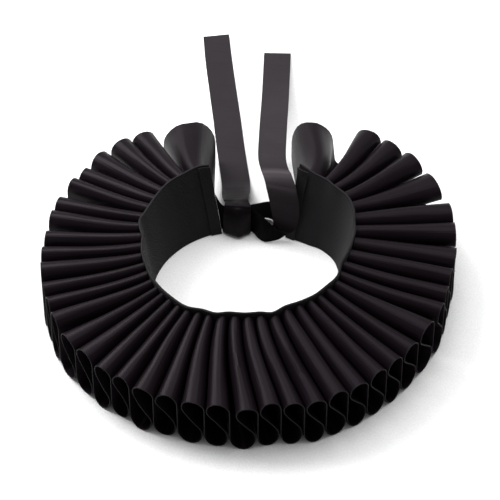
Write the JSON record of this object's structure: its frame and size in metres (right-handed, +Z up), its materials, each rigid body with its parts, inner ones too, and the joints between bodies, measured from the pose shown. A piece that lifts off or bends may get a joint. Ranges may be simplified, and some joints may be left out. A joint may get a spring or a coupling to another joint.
{
  "type": "ruff collar",
  "caption": "Standing ruff collar of black satin set in figure-eight folds round a tapered neckband, open at the back and tied there with ribbons.",
  "frame": {"origin": "centre of the bounding box on the surface that the collar stands on", "axes": "+Z up, -Y towards the front of the neck, +Y towards the tied back and along the ribbon tails"},
  "size_m": [0.2994, 0.4291, 0.0573],
  "materials": {
    "satin": "black satin with a soft sheen",
    "twill": "matt black twill",
    "ribbon": "dark satin ribbon"
  },
  "bodies": {
    "root": {"ruff": "satin", "neckband": "twill", "hem_left": "twill", "hem_right": "twill", "ribbon_left": "ribbon", "ribbon_right": "ribbon"}
  },
  "joints": []
}
